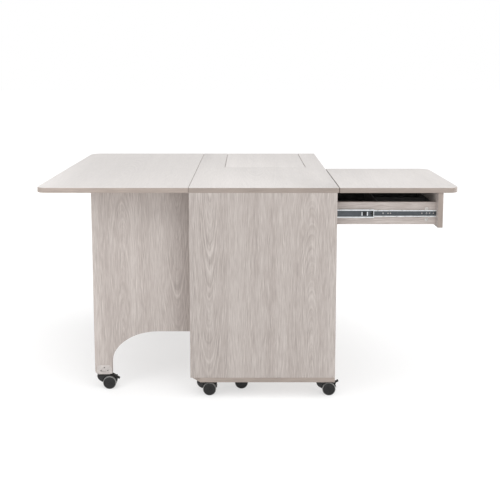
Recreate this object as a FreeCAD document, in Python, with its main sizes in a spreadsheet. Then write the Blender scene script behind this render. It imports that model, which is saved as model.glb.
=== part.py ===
"""Sewing table: a cabinet on castors with two flip-over leaves, two gate legs, a drawer and a machine lift.

Frame: millimetres, +Z up, origin under the middle of the opened table.
+X points to the user's side, -Y to the near end of the cabinet, +Y to the far end.
"""
import FreeCAD, Part
import math
import os
import Sketcher
from FreeCAD import Placement, Rotation, Vector

DRIVING = {
    # boards and the table as a whole
    "board": 18,
    "table_height": 790,
    "table_length": 1020,
    "castor_height": 62,
    "top_width": 541,
    "rear_leaf_width": 550,
    "user_leaf_width": 430,
    "user_leaf_length": 490,
    "leaf_corner": 40,
    "rear_seam": 1.5,
    "user_seam": 3,
    # machine opening in the top
    "opening_rear": 114.25,
    "opening_user": 461.75,
    "opening_length": 490,
    "cover_gap": 1.5,
    "cover_end_gap": 0.5,
    # carcass
    "panel_rear_inset": 1,
    "panel_user_inset": 6,
    "recess": 24,
    "base_inset": 5,
    "clip_width": 38,
    "clip_length": 40,
    "ear_length": 80,
    "cleat_width": 35,
    "cleat_lap": 12,
    # drawer
    "drawer_open": 362,
    "front_height": 127,
    "front_margin": 2,
    "leaf_play": 1,
    "side_height": 82,
    "side_bottom": 651,
    "side_board": 15,
    "side_length": 380,
    "bottom_board": 6,
    "groove": 5,
    "tray_wall": 2.5,
    "tray_height": 60,
    # drawer slides
    "slide_depth": 12.7,
    "slide_length": 350,
    "slide_level": 692,
    "middle_out": 136,
    # gates
    "gate_offset": 88,
    "gate_reach": 368.75,
    "gate_bottom": 58,
    "gate_play": 2,
    "leg_width": 65,
    "leg_inner_top": 98,
    "arch_width": 177,
    "arch_height": 127,
    "hinge_axis": 2.9,
    "hinge_high": 60,
    # castors
    "wheel_radius": 25,
    "trail": 20,
    "stem_radius": 5,
    "stem_top": 57.8,
    # machine lift
    "platform_level": 462,
    "platform_margin": 17,
    "strut_radius": 11,
}

TOUCH = 0.001  # two places closer than this are the same place

doc = FreeCAD.newDocument("sewing_table")
sheet = doc.addObject("Spreadsheet::Sheet", "dims")
nodes = []


class Size:
    """A length with its value and its formula in the sheet's aliases."""

    def __init__(self, value, formula=None):
        self.value = float(value)
        self.formula = formula or f"({float(value)!r})"

    def __add__(self, other):
        other = size(other)
        return Size(self.value + other.value, f"({self.formula} + {other.formula})")

    def __sub__(self, other):
        other = size(other)
        return Size(self.value - other.value, f"({self.formula} - {other.formula})")

    def __mul__(self, number):
        return Size(self.value * number, f"({self.formula} * ({number!r}))")

    def __neg__(self):
        return self * -1.0

    __radd__ = __add__


def size(number):
    """A number or a Size, as a Size."""
    return number if isinstance(number, Size) else Size(number)


def fill_sheet():
    """Write the driving dimensions and hand them back by name."""
    for row, (alias, value) in enumerate(DRIVING.items(), start=1):
        sheet.set(f"A{row}", alias)
        sheet.set(f"B{row}", str(value))
        sheet.setAlias(f"B{row}", alias)
    doc.recompute()
    return {alias: Size(value, f"dims.{alias}") for alias, value in DRIVING.items()}


# --- small builders ---------------------------------------------------------------------------

def bind(obj, path, length):
    """Tie a property to a length's formula."""
    obj.setExpression(path, size(length).formula)


def place(obj, x=0, y=0, z=0, rotation=None):
    """Put an object at bound coordinates, turned as asked."""
    if rotation is not None:
        obj.Placement = Placement(Vector(), rotation)
    for axis, length in zip("xyz", (x, y, z)):
        bind(obj, f".Placement.Base.{axis}", length)
    return obj


def box(name, low, high):
    """A box between two corners."""
    obj = doc.addObject("Part::Box", name)
    for prop, a, b in zip(("Length", "Width", "Height"), low, high):
        bind(obj, prop, size(b) - a)
    return place(obj, *low)


ALONG_X = Rotation(Vector(0, 1, 0), 90)
ALONG_Y = Rotation(Vector(1, 0, 0), -90)
ALONG_Z = Rotation()


def rod(name, centre, radius, length, along=ALONG_Z):
    """A cylinder that starts at centre and runs along an axis."""
    obj = doc.addObject("Part::Cylinder", name)
    bind(obj, "Radius", radius)
    bind(obj, "Height", length)
    return place(obj, *centre, rotation=along)


def cut(name, base, tools):
    """The base without the tools; a seated piece can be a tool, and then fits exactly."""
    obj = doc.addObject("Part::Cut", name)
    obj.Base = base
    obj.Tool = tools[0] if len(tools) == 1 else group(name + "_tools", tools)
    return obj


def fuse(name, pieces):
    """Several shapes as one solid."""
    obj = doc.addObject("Part::MultiFuse", name)
    obj.Shapes = pieces
    obj.Refine = True
    return obj


def group(name, pieces):
    """Several solids side by side in one object."""
    obj = doc.addObject("Part::Compound", name)
    obj.Links = pieces
    return obj


def mirror_y(name, source, plane=0):
    """The source mirrored in a plane of constant Y."""
    obj = doc.addObject("Part::Mirroring", name)
    obj.Source = source
    obj.Normal = Vector(0, 1, 0)
    bind(obj, "Base.y", plane)
    return obj


def node(obj, label):
    """Mark an object as a finished piece of the table."""
    obj.Label = label
    nodes.append(obj)
    return obj


def start_sketch(body, role):
    """An empty sketch on one of the body's own planes."""
    sketch = body.newObject("Sketcher::SketchObject", body.Name + "_sketch")
    plane = next(f for f in body.Origin.OriginFeatures if f.Role == role)
    sketch.AttachmentSupport = [(plane, "")]
    sketch.MapMode = "FlatFace"
    return sketch


def pin_point(sketch, edge, point, x, y):
    """Hold a point of the sketch at bound coordinates."""
    for kind, length, axis in (("DistanceX", size(x), -2), ("DistanceY", size(y), -1)):
        if abs(length.value) < TOUCH:
            sketch.addConstraint(Sketcher.Constraint("PointOnObject", edge, point, axis))
            continue
        rule = Sketcher.Constraint(kind, -1, 1, edge, point, length.value)
        bind(sketch, f"Constraints[{sketch.addConstraint(rule)}]", length)


def outline(sketch, corners):
    """A closed run of straight lines through corners."""
    points = [Vector(size(x).value, size(y).value, 0) for x, y in corners]
    first = sketch.GeometryCount
    for start, end in zip(points, points[1:] + points[:1]):
        sketch.addGeometry(Part.LineSegment(start, end))
    for i, (x, y) in enumerate(corners):
        after = first + (i + 1) % len(corners)
        sketch.addConstraint(Sketcher.Constraint("Coincident", first + i, 2, after, 1))
        pin_point(sketch, first + i, 1, x, y)


def circle(sketch, x, y, radius):
    """A circle at bound coordinates."""
    middle = Vector(size(x).value, size(y).value, 0)
    edge = sketch.addGeometry(Part.Circle(middle, Vector(0, 0, 1), size(radius).value))
    pin_point(sketch, edge, 3, x, y)
    rule = Sketcher.Constraint("Radius", edge, size(radius).value)
    bind(sketch, f"Constraints[{sketch.addConstraint(rule)}]", radius)


def padded(name, role, corners, length, midplane=False):
    """A body with one outline pressed out along the plane's positive axis."""
    body = doc.addObject("PartDesign::Body", name)
    sketch = start_sketch(body, role)
    outline(sketch, corners)
    pad = body.newObject("PartDesign::Pad", name + "_pad")
    pad.Profile = sketch
    pad.Midplane = midplane
    pad.Reversed = role == "XZ_Plane" and not midplane
    bind(pad, "Length", length)
    doc.recompute()
    return body


def pierce(body, role, draw):
    """Cut what draw puts in a sketch right through the body, both ways from the plane."""
    sketch = start_sketch(body, role)
    draw(sketch)
    before = body.Shape.Volume
    pocket = body.newObject("PartDesign::Pocket", body.Name + "_pocket")
    pocket.Profile = sketch
    pocket.Type = "ThroughAll"
    pocket.Midplane = True
    doc.recompute()
    if body.Shape.Volume >= before:
        raise RuntimeError(f"the pocket in {body.Name} cut nothing")
    return body


def stands_on(edge, spots, axes):
    """True if all of the edge's ends lie over one of the spots, seen along the third axis."""
    ends = [[getattr(vertex.Point, axis) for axis in axes] for vertex in edge.Vertexes]
    return any(all(math.dist(end, spot) < TOUCH for end in ends) for spot in spots)


def round_corners(body, corners, radius, axes="xy"):
    """Round the straight edges that stand on the given corners of the body's outline."""
    tip = body.Tip
    spots = [tuple(size(v).value for v in corner) for corner in corners]
    names = [f"Edge{number}" for number, edge in enumerate(tip.Shape.Edges, start=1)
             if stands_on(edge, spots, axes)]
    if len(names) != len(spots):
        raise RuntimeError(f"{body.Name}: {len(names)} edges found for {len(spots)} corners")
    fillet = body.newObject("PartDesign::Fillet", body.Name + "_fillet")
    fillet.Base = (tip, names)
    bind(fillet, "Radius", radius)
    doc.recompute()
    return body


D = fill_sheet()

# --- places that several pieces share ----------------------------------------------------------

total_width = (D["rear_leaf_width"] + D["rear_seam"] + D["top_width"]
               + D["user_seam"] + D["user_leaf_width"])
near_end = D["table_length"] * -0.5
far_end = D["table_length"] * 0.5
rear_tip = total_width * -0.5
rear_edge = rear_tip + D["rear_leaf_width"] + D["rear_seam"]
user_edge = rear_edge + D["top_width"]
top_under = D["table_height"] - D["board"]
base_top = D["castor_height"] + D["board"]
panel_front = user_edge - D["panel_user_inset"]
panel_inside = near_end + D["board"]
back_face = rear_edge + D["recess"]
opening_near = far_end - D["opening_length"]
drawer_end = near_end + D["user_leaf_length"]
partition_near = drawer_end - D["board"]
niche_middle = (panel_inside + partition_near) * 0.5


# --- top and leaves -----------------------------------------------------------------------------

BARREL_RADIUS = 6
BARREL_LENGTH = 14
BARREL_INSET = 90  # from a board's end to its first hinge


def barrels(name, x, places):
    """Concealed hinge barrels let into a board's edge, running towards +X from x."""
    level = D["table_height"] - D["board"] * 0.5
    return group(name, [
        rod(f"{name}_{i}", (x, y, level), BARREL_RADIUS, BARREL_LENGTH, ALONG_X)
        for i, y in enumerate(places)
    ])


def hinge_places(low, high, count):
    """Evenly spread hinge places along an edge."""
    start = low + BARREL_INSET
    step = (high - BARREL_INSET - start) * (1 / (count - 1))
    return [start + step * i for i in range(count)]


def make_top():
    """The U-shaped top, its leaves and the barrel hinges between them."""
    rear_places = hinge_places(near_end, far_end, 4)
    user_places = hinge_places(near_end, drawer_end, 2)
    sockets = node(group("sockets", [
        barrels("top_rear", rear_edge, rear_places),
        barrels("top_user", user_edge - BARREL_LENGTH, user_places),
    ]), "leaf_hinge_sockets")
    inner = D["table_length"] - D["opening_length"]
    board = padded("top_board", "XY_Plane", [
        (0, 0), (D["top_width"], 0), (D["top_width"], D["table_length"]),
        (D["opening_user"], D["table_length"]), (D["opening_user"], inner),
        (D["opening_rear"], inner), (D["opening_rear"], D["table_length"]),
        (0, D["table_length"]),
    ], D["board"])
    place(board, rear_edge, near_end, top_under)
    node(cut("top", board, [sockets]), "main_top")

    rear_barrels = node(barrels("rear_barrels", rear_edge - D["rear_seam"] - BARREL_LENGTH,
                                rear_places), "rear_leaf_barrels")
    outer = [(0, 0), (0, D["table_length"])]
    leaf = padded("rear_board", "XY_Plane", [
        (0, 0), (D["rear_leaf_width"], 0), (D["rear_leaf_width"], D["table_length"]),
        (0, D["table_length"]),
    ], D["board"])
    round_corners(leaf, outer, D["leaf_corner"])
    place(leaf, rear_tip, near_end, top_under)
    node(cut("rear", leaf, [rear_barrels]), "rear_leaf")

    user_barrels = node(barrels("user_barrels", user_edge + D["user_seam"], user_places),
                        "user_leaf_barrels")
    width, length = D["user_leaf_width"], D["user_leaf_length"]
    leaf = padded("user_board", "XY_Plane", [(0, 0), (width, 0), (width, length), (0, length)],
                  D["board"])
    round_corners(leaf, [(width, 0), (width, length)], D["leaf_corner"])
    place(leaf, user_edge + D["user_seam"], near_end, top_under)
    node(cut("user", leaf, [user_barrels]), "user_leaf")


CLEAT_PLAY = 2  # between a batten and the boards at its ends


def make_cover():
    """The lift-off board over the machine bay and the battens that carry it."""
    low = rear_edge + D["opening_rear"]
    high = rear_edge + D["opening_user"]
    node(box("cover", (low + D["cover_gap"], opening_near + D["cover_end_gap"], top_under),
             (high - D["cover_gap"], far_end, D["table_height"])), "machine_cover")
    floor = top_under - D["board"]
    start = opening_near + CLEAT_PLAY
    stop = far_end - D["board"] - CLEAT_PLAY
    lap, width = D["cleat_lap"], D["cleat_width"]
    node(group("cleats", [
        box("cleat_rear", (low + lap - width, start, floor), (low + lap, stop, top_under)),
        box("cleat_user", (high - lap, start, floor), (high - lap + width, stop, top_under)),
    ]), "cover_cleats")


# --- carcass --------------------------------------------------------------------------------------

CAM_RADIUS = 7.5
CAM_DEPTH = 12.5
CAM_INSET = 34  # from a cam lock's middle to the joint it pulls shut
CAM_FROM_BACK = 70
CAM_FROM_FRONT = 50


def panel_cams(name, face, towards):
    """Four cam locks let into a panel's face, running along Y away from it."""
    start = face if towards > 0 else face - CAM_DEPTH
    spots = [(x, z) for x in (back_face + CAM_FROM_BACK, panel_front - CAM_FROM_FRONT)
             for z in (base_top + CAM_INSET, top_under - CAM_INSET)]
    return group(name, [
        rod(f"{name}_{i}", (x, start, z), CAM_RADIUS, CAM_DEPTH, ALONG_Y)
        for i, (x, z) in enumerate(spots)
    ])


def make_carcass():
    """End panels, back, partition and base, with the cam locks that join them."""
    rear_side = rear_edge + D["panel_rear_inset"]
    partition_far = partition_near + D["board"]
    cams = node(group("cams", [
        panel_cams("near_cams", panel_inside, -1),
        panel_cams("far_cams", far_end - D["board"], 1),
        panel_cams("partition_cams", partition_far, -1),
    ]), "carcass_cams")
    panel = box("near_board", (rear_side, near_end, base_top), (panel_front, panel_inside, top_under))
    node(cut("near_panel", panel, [cams]), "near_end_panel")
    panel = box("far_board", (rear_side, far_end - D["board"], base_top),
                (panel_front, far_end, top_under))
    node(cut("far_panel", panel, [cams]), "far_end_panel")
    back_inside = back_face + D["board"]
    panel = box("partition_board", (back_inside, partition_near, base_top),
                (panel_front, partition_far, top_under))
    node(cut("partition_cut", panel, [cams]), "partition")
    node(box("back", (back_face, panel_inside, base_top),
             (back_inside, far_end - D["board"], top_under)), "back_panel")
    length, width = D["table_length"], panel_front - rear_edge
    base = padded("base", "XY_Plane", [
        (D["clip_width"], 0), (width, 0), (width, length), (D["clip_width"], length),
        (D["base_inset"], length - D["clip_length"]), (D["base_inset"], length - D["ear_length"]),
        (D["recess"], length - D["ear_length"]), (D["recess"], D["ear_length"]),
        (D["base_inset"], D["ear_length"]), (D["base_inset"], D["clip_length"]),
    ], D["board"])
    place(base, rear_edge, near_end, D["castor_height"])
    node(base, "base_board")


# --- drawer ---------------------------------------------------------------------------------------

FRONT_PLAY = 1  # between the shut drawer's front and the panels
front_inside = panel_front + FRONT_PLAY + D["drawer_open"]
side_near = panel_inside + D["slide_depth"]
side_far = partition_near - D["slide_depth"]
DRAWER_CAM_RADIUS = 6.5
DRAWER_CAM_DEPTH = 10
DRAWER_CAM_LEVELS = (18, 57)  # above the lower edge of a drawer side
TRAY_PLAY = 1.5
TRAY_SPLIT = 0.45  # the long compartment's share of the tray
SHORT_CELLS = 3


def drawer_cams():
    """Cam locks in the outer faces of both drawer sides, two by the front."""
    x = front_inside - CAM_INSET
    near = group("near_side_cams", [
        rod(f"side_cam_{i}", (x, side_near, D["side_bottom"] + level), DRAWER_CAM_RADIUS,
            DRAWER_CAM_DEPTH, ALONG_Y)
        for i, level in enumerate(DRAWER_CAM_LEVELS)
    ])
    return group("side_cams", [near, mirror_y("far_side_cams", near, niche_middle)])


def drawer_tray(low, high):
    """The loose insert: a thin shell with one long and three short compartments."""
    wall = D["tray_wall"]
    outer = box("tray_block", low, high)
    split_x = low[0] + (high[0] - low[0]) * TRAY_SPLIT
    floor = low[2] + wall
    cells = [box("cell_long", (low[0] + wall, low[1] + wall, floor),
                 (split_x - wall * 0.5, high[1] - wall, high[2] + wall))]
    step = (high[1] - low[1] - wall) * (1 / SHORT_CELLS)
    for i in range(SHORT_CELLS):
        start = low[1] + wall + step * i
        cells.append(box(f"cell_{i}", (split_x + wall * 0.5, start, floor),
                         (high[0] - wall, start + step - wall, high[2] + wall)))
    return cut("tray", outer, cells)


def make_drawer():
    """Front, sides, back, bottom and insert of the drawer, drawn in the pulled-out place."""
    thick, floor = D["side_board"], D["side_bottom"]
    lid = floor + D["side_height"]
    rear = front_inside - D["side_length"]
    bottom_level = floor + D["bottom_board"]
    bottom = node(box("bottom", (rear + thick - D["groove"], side_near + thick - D["groove"],
                                 bottom_level),
                      (front_inside + D["groove"], side_far - thick + D["groove"],
                       bottom_level + D["bottom_board"])), "drawer_bottom")
    cams = node(drawer_cams(), "drawer_cams")
    front_top = top_under - D["leaf_play"]
    front = box("front", (front_inside, near_end + D["front_margin"], front_top - D["front_height"]),
                (front_inside + D["board"], drawer_end - D["front_margin"], front_top))
    node(cut("front_cut", front, [bottom]), "drawer_front")
    near = box("near_side", (rear, side_near, floor), (front_inside, side_near + thick, lid))
    node(cut("near_side_cut", near, [bottom, cams]), "drawer_near_side")
    far = box("far_side", (rear, side_far - thick, floor), (front_inside, side_far, lid))
    node(cut("far_side_cut", far, [bottom, cams]), "drawer_far_side")
    back = box("drawer_rear", (rear, side_near + thick, floor), (rear + thick, side_far - thick, lid))
    node(cut("drawer_rear_cut", back, [bottom]), "drawer_back")
    tray_floor = bottom_level + D["bottom_board"]
    low = (rear + thick + TRAY_PLAY, side_near + thick + TRAY_PLAY, tray_floor)
    high = (front_inside - TRAY_PLAY, side_far - thick - TRAY_PLAY, tray_floor + D["tray_height"])
    node(drawer_tray(low, high), "drawer_tray")


# --- drawer slides --------------------------------------------------------------------------------

SHEET = 1.2
# Each member's half height, and where it lies between the cabinet side (0) and the drawer side.
CABINET_HALF, CABINET_LIP = 18.5, 11.2
MIDDLE_HALF, MIDDLE_INNER, MIDDLE_OUTER = 15, 2.2, 10.8
MIDDLE_WEB, MIDDLE_EDGE = 5, 11
DRAWER_HALF, DRAWER_LIP, DRAWER_EDGE = 12, 6.8, 8.5
RAIL_PLAY = 2  # from the cabinet rail's end to the panel's front edge
WINDOW_BACK, WINDOW = 14, 6
STOP_LENGTH, STOP_HALF = 8, 10.7
RAIL_HOLES = (10, 24, 35, 52, 166, 175, 193, 300)  # back from the drawer rail's front end
RAIL_HOLE_RADIUS = 2.2


def channel(name, profile, start):
    """A rolled rail along X; the profile gives (distance from the cabinet side, height)."""
    body = padded(name, "YZ_Plane", profile, D["slide_length"])
    return place(body, start, panel_inside, D["slide_level"])


def rail_pair(name, near):
    """A rail and its mirror image on the other side of the drawer."""
    return group(name, [near, mirror_y(name + "_far", near, niche_middle)])


def make_slides():
    """The two three-member ball-bearing slides."""
    half, lip = CABINET_HALF, CABINET_LIP
    cabinet = channel("cabinet_rail", [
        (0, -half), (lip, -half), (lip, SHEET - half), (SHEET, SHEET - half),
        (SHEET, half - SHEET), (lip, half - SHEET), (lip, half), (0, half),
    ], panel_front - RAIL_PLAY - D["slide_length"])
    node(rail_pair("cabinet_rails", cabinet), "slide_cabinet_rails")
    middle = make_middle_rail()
    node(rail_pair("middle_rails", middle), "slide_middle_rails")
    tip = panel_front + D["middle_out"]
    level = D["slide_level"]
    stop = box("end_stop", (tip - STOP_LENGTH, panel_inside + MIDDLE_INNER, level - STOP_HALF),
               (tip, panel_inside + MIDDLE_WEB, level + STOP_HALF))
    node(rail_pair("end_stops", stop), "slide_end_stops")
    drawer = make_drawer_rail()
    node(rail_pair("drawer_rails", drawer), "slide_drawer_rails")


def make_middle_rail():
    """The middle member: an H section whose flanges turn back at the cabinet side."""
    half, edge, web = MIDDLE_HALF, MIDDLE_EDGE, MIDDLE_WEB
    inner, outer = MIDDLE_INNER, MIDDLE_OUTER
    rail = channel("middle_rail", [
        (inner, -half), (outer, -half), (outer, SHEET - half), (web + SHEET, SHEET - half),
        (web + SHEET, half - SHEET), (outer, half - SHEET), (outer, half), (inner, half),
        (inner, edge), (inner + SHEET, edge), (inner + SHEET, half - SHEET), (web, half - SHEET),
        (web, SHEET - half), (inner + SHEET, SHEET - half), (inner + SHEET, -edge), (inner, -edge),
    ], panel_front + D["middle_out"] - D["slide_length"])
    start = D["slide_length"] - WINDOW_BACK
    side = WINDOW / 2
    return pierce(rail, "XZ_Plane", lambda sketch: outline(sketch, [
        (start, -side), (start + WINDOW, -side), (start + WINDOW, side), (start, side)]))


def make_drawer_rail():
    """The member on the drawer side, a C section with its screw holes."""
    half, lip, edge, depth = DRAWER_HALF, DRAWER_LIP, DRAWER_EDGE, D["slide_depth"]
    rail = channel("drawer_rail", [
        (depth, -half), (depth, half), (lip, half), (lip, edge), (lip + SHEET, edge),
        (lip + SHEET, half - SHEET), (depth - SHEET, half - SHEET), (depth - SHEET, SHEET - half),
        (lip + SHEET, SHEET - half), (lip + SHEET, -edge), (lip, -edge), (lip, -half),
    ], front_inside - D["slide_length"])

    def screw_holes(sketch):
        for back in RAIL_HOLES:
            circle(sketch, D["slide_length"] - back, 0, RAIL_HOLE_RADIUS)

    return pierce(rail, "XZ_Plane", screw_holes)


# --- gates ----------------------------------------------------------------------------------------

gate_near = near_end + D["gate_offset"]
gate_outer = rear_edge - D["gate_reach"]
gate_top = top_under - D["gate_play"]
axis_x = back_face - D["hinge_axis"]
axis_y = gate_near + D["board"] + D["hinge_axis"]
STEM_SHIFT = 3  # of the gate castor's stem from the leg's middle
gate_stem_x = gate_outer + D["leg_width"] * 0.5 + STEM_SHIFT
gate_stem_y = gate_near + D["board"] * 0.5
KNUCKLE_RADIUS = 2.6
PIN_RADIUS = 1.2
PIN_PLAY = 0.05
KNUCKLE_AIR = 0.15
HINGE_PLATE = 28
HINGE_LEVELS = (280, 700)
HINGE_AIR = 0.4  # between a knuckle and the other half's plate
KNUCKLES = 5
GATE_BACK_PLAY = 1
FOOT_CORNER = 12
BEYOND = 1  # how far a cutting shape reaches past the board it cuts


def gate_panel():
    """One board: a leg at the outer end and a quarter-elliptic arch up to the long apron."""
    foot, inner = D["gate_bottom"], back_face - GATE_BACK_PLAY
    slab = padded("gate_board", "XZ_Plane", [
        (0, 0), (inner - gate_outer, 0), (inner - gate_outer, gate_top - foot),
        (0, gate_top - foot),
    ], D["board"])
    round_corners(slab, [(0, 0)], FOOT_CORNER, axes="xz")
    place(slab, gate_outer, gate_near, foot)
    leg = gate_outer + D["leg_width"]
    spring, crown = leg + D["arch_width"], D["leg_inner_top"] + D["arch_height"]
    front, rear = gate_near - BEYOND, gate_near + D["board"] + BEYOND
    ring = doc.addObject("Part::Ellipse", "arch_ring")
    bind(ring, "MajorRadius", D["arch_width"])
    bind(ring, "MinorRadius", D["arch_height"])
    place(ring, spring, front, D["leg_inner_top"], Rotation(Vector(1, 0, 0), 90))
    arch = doc.addObject("Part::Extrusion", "arch_round")
    arch.Base = ring
    arch.DirMode = "Custom"
    arch.Dir = Vector(0, 1, 0)
    arch.Solid = True
    bind(arch, "LengthFwd", rear - front)
    past = inner + BEYOND
    below = box("arch_below", (leg, front, foot - BEYOND), (past, rear, D["leg_inner_top"]))
    beside = box("arch_beside", (spring, front, foot - BEYOND), (past, rear, crown))
    return cut("gate", slab, [fuse("arch_space", [arch, below, beside])])


def knuckle_spans(turns):
    """Height ranges of the named knuckles, of equal ones with a little air between."""
    step = D["hinge_high"] * (1 / KNUCKLES)
    return [(step * turn + KNUCKLE_AIR, step * (turn + 1) - KNUCKLE_AIR) for turn in turns]


def hinge_half(name, level, turns, plate, necks):
    """A hinge half: its plate, with a neck and a rolled knuckle at each of its turns."""
    pieces = [box(f"{name}_plate", (plate[0], plate[1], level),
                  (plate[2], plate[3], level + D["hinge_high"]))]
    for i, (low, high) in enumerate(knuckle_spans(turns)):
        pieces.append(box(f"{name}_neck_{i}", (necks[0], necks[1], level + low),
                          (necks[2], necks[3], level + high)))
        pieces.append(rod(f"{name}_roll_{i}", (axis_x, axis_y, level + low), KNUCKLE_RADIUS,
                          high - low))
    return pieces


def gate_hinges():
    """Both halves of the gate's butt hinges, the fixed half with its pins."""
    fixed, moving = [], []
    gate_face = gate_near + D["board"]
    clear = KNUCKLE_RADIUS + HINGE_AIR
    for i, level in enumerate(HINGE_LEVELS):
        pin = rod(f"hinge_pin_{i}", (axis_x, axis_y, level + KNUCKLE_AIR), PIN_RADIUS,
                  D["hinge_high"] - KNUCKLE_AIR * 2)
        half = hinge_half(f"fixed_{i}", level, (0, 2, 4),
                          (back_face - SHEET, axis_y + clear, back_face, axis_y + HINGE_PLATE),
                          (back_face - SHEET, axis_y, back_face, axis_y + clear))
        fixed.append(fuse(f"fixed_half_{i}", half + [pin]))
        half = hinge_half(f"moving_{i}", level, (1, 3),
                          (axis_x - HINGE_PLATE, gate_face, axis_x - clear, gate_face + SHEET),
                          (axis_x - clear, gate_face, axis_x, gate_face + SHEET))
        bore = rod(f"pin_bore_{i}", (axis_x, axis_y, level), PIN_RADIUS + PIN_PLAY, D["hinge_high"])
        moving.append(cut(f"moving_bored_{i}", fuse(f"moving_half_{i}", half), [bore]))
    return group("fixed_halves", fixed), group("moving_halves", moving)


BRACKET_WIDE = 59
BRACKET_HIGH = 35
BRACKET_CORNER = 16
BRACKET_SHEET = 2
TAB_SHEET = 2.5
TAB_HALF = 22
STEM_PLAY = 0.1
BRACKET_SCREWS = ((0, 24), (-13, 13), (13, 13))  # from the middle of the plate's lower edge
SHANK_RADIUS = 2
HEAD_RADIUS = 3.6
HEAD_HIGH = 1.2


def bracket_screw(number, x, z):
    """A pan-head screw through the bracket's plate."""
    level = D["gate_bottom"] + z
    face = gate_near - BRACKET_SHEET
    shank = rod(f"screw_shank_{number}", (gate_stem_x + x, face, level), SHANK_RADIUS,
                BRACKET_SHEET, ALONG_Y)
    head = rod(f"screw_head_{number}", (gate_stem_x + x, face - HEAD_HIGH, level), HEAD_RADIUS,
               HEAD_HIGH, ALONG_Y)
    return fuse(f"bracket_screw_{number}", [shank, head])


def castor_bracket():
    """The castor bracket on the leg: a rounded face plate, a tab under the leg and three screws."""
    half, foot = BRACKET_WIDE / 2, D["gate_bottom"]
    plate = padded("bracket_plate", "XZ_Plane", [
        (-half, 0), (half, 0), (half, BRACKET_HIGH), (-half, BRACKET_HIGH),
    ], BRACKET_SHEET)
    round_corners(plate, [(-half, BRACKET_HIGH), (half, BRACKET_HIGH)], BRACKET_CORNER, axes="xz")
    face = gate_near - BRACKET_SHEET
    place(plate, gate_stem_x, face, foot)
    low = (gate_stem_x - TAB_HALF, face, foot - TAB_SHEET)
    tab = box("bracket_tab", low,
              (gate_stem_x + TAB_HALF, gate_near + D["board"] + BRACKET_SHEET, foot))
    skirt = box("bracket_skirt", low, (gate_stem_x + TAB_HALF, gate_near, foot + BEYOND))
    solid = fuse("bracket_solid", [plate, tab, skirt])
    bore = rod("stem_bore", (gate_stem_x, gate_stem_y, foot - TAB_SHEET - BEYOND),
               D["stem_radius"] + STEM_PLAY, TAB_SHEET + BEYOND)
    screws = group("bracket_screws", [
        bracket_screw(number, x, z) for number, (x, z) in enumerate(BRACKET_SCREWS)])
    return cut("bracket", solid, [bore, screws]), screws


def make_gates():
    """The gate at the near end and its mirror image at the far end."""
    fixed, moving = gate_hinges()
    bracket, screws = castor_bracket()
    pieces = {"panel": gate_panel(), "hinges": moving, "bracket": bracket,
              "bracket_screws": screws}
    for piece, obj in pieces.items():
        node(obj, f"near_gate_{piece}")
        node(mirror_y(f"far_{obj.Name}", obj), f"far_gate_{piece}")
    node(group("fixed_all", [fixed, mirror_y("fixed_far", fixed)]), "gate_hinge_plates")


# --- machine lift ---------------------------------------------------------------------------------

RAIL_DEPTH = 18
RAIL_HALF = 20
RAIL_WALL = 2
RAIL_LOW, RAIL_HIGH = 390, 765
CARRIAGE_HALF = 17.5
CARRIAGE_NEAR, CARRIAGE_FAR = 3, 22  # from the board that carries the rail
CARRIAGE_DROP, CARRIAGE_RISE = 62, 18  # below and above the platform's underside
ARM_REACH, ARM_SHEET = 120, 4
PLATFORM_PLAY = 6
STRUT_INSET = 40
STRUT_LENGTH, STRUT_NECK = 350, 10  # the neck closes the tube's upper end round the rod
STRUT_WALL, STRUT_FLOOR = 2, 10
ROD_RADIUS, ROD_PLAY = 4, 0.1
ROD_FLOOR, PISTON_HIGH = 20, 12


def lift_rail(name, x):
    """An upright channel on the partition's far face."""
    face = partition_near + D["board"]
    inside = RAIL_HALF - RAIL_WALL
    block = box(name + "_block", (x - RAIL_HALF, face, RAIL_LOW),
                (x + RAIL_HALF, face + RAIL_DEPTH, RAIL_HIGH))
    slot = box(name + "_slot", (x - inside, face + RAIL_WALL, RAIL_LOW - BEYOND),
               (x + inside, face + RAIL_DEPTH + BEYOND, RAIL_HIGH + BEYOND))
    return cut(name, block, [slot])


def lift_carriage(name, x):
    """A block that runs in the channel, with an arm under the platform."""
    start = partition_near + D["board"] + CARRIAGE_NEAR
    end = partition_near + D["board"] + CARRIAGE_FAR
    reach = partition_near + D["board"] + ARM_REACH
    level = D["platform_level"]
    block = box(name + "_block", (x - CARRIAGE_HALF, start, level - CARRIAGE_DROP),
                (x + CARRIAGE_HALF, end, level + CARRIAGE_RISE))
    arm = box(name + "_arm", (x - CARRIAGE_HALF, start, level - ARM_SHEET),
              (x + CARRIAGE_HALF, reach, level))
    return fuse(name, [block, arm])


def make_strut(x, y):
    """The gas strut: a tube that stands on the base, and the rod that carries the platform."""
    radius, bottom, level = D["strut_radius"], base_top, D["platform_level"]
    tube = rod("strut_tube", (x, y, bottom), radius, STRUT_LENGTH)
    bore = rod("strut_bore", (x, y, bottom + STRUT_FLOOR), radius - STRUT_WALL,
               STRUT_LENGTH - STRUT_FLOOR - STRUT_NECK)
    neck = rod("strut_neck", (x, y, bottom + STRUT_LENGTH - STRUT_NECK - BEYOND),
               ROD_RADIUS + ROD_PLAY, STRUT_NECK + BEYOND * 2)
    node(cut("strut", tube, [bore, neck]), "strut_cylinder")
    foot = (x, y, bottom + ROD_FLOOR)
    stick = rod("strut_stick", foot, ROD_RADIUS, level - bottom - ROD_FLOOR)
    piston = rod("strut_piston", foot, radius - STRUT_WALL - ROD_PLAY, PISTON_HIGH)
    node(fuse("strut_moving", [stick, piston]), "strut_rod")


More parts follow.
